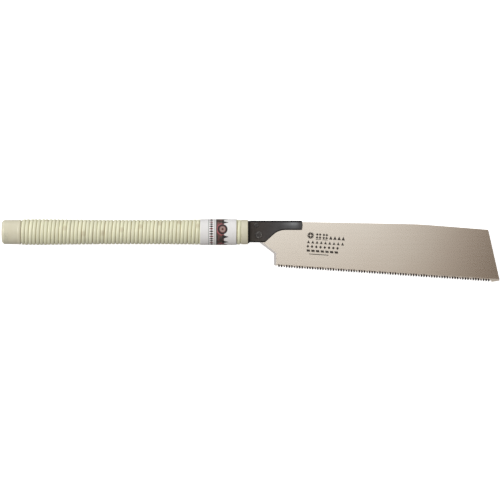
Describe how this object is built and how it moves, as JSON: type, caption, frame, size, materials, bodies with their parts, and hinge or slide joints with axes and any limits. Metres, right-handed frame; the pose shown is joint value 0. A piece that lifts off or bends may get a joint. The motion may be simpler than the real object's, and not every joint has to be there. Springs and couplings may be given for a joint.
{
  "type": "japanese pull saw",
  "caption": "Single-edged pull saw: a thin toothed blade with a slanted toe, held in a folded steel spine on a straight cane-wrapped oval handle.",
  "frame": {"origin": "centre of the flat face at the handle's butt end, on the handle's axis", "axes": "+X from the butt along the handle towards the blade's toe, +Y towards the blade's back (the teeth face -Y), +Z through the blade's thickness, so the saw lies flat on its side"},
  "size_m": [0.5956, 0.0754, 0.027],
  "materials": {
    "core_wood": "matte",
    "cane": "satin",
    "label_paper": "satin",
    "cap_plastic": "satin",
    "plug_rubber": "matte",
    "black_steel": "satin",
    "pin_steel": "satin",
    "tang_pin_steel": "satin",
    "blade_steel": "polished"
  },
  "bodies": {
    "handle": {"handle_core": "core_wood", "cane_wrap": "cane", "label_band": "label_paper", "butt_cap": "cap_plastic", "front_ferrule": "cap_plastic", "mouth_plug": "plug_rubber", "blade_holder": "black_steel", "hook_pin": "pin_steel", "holder_rivet": "pin_steel", "tang_pin_front": "tang_pin_steel", "tang_pin_rear": "tang_pin_steel"},
    "blade": {"saw_blade": "blade_steel"}
  },
  "joints": [
    {"name": "blade_release", "type": "hinge", "parent": "handle", "child": "blade", "pos_m": [0.3074, -0.0035, 0], "axis": [0, 0, -1], "range_deg": [0, 15]}
  ]
}
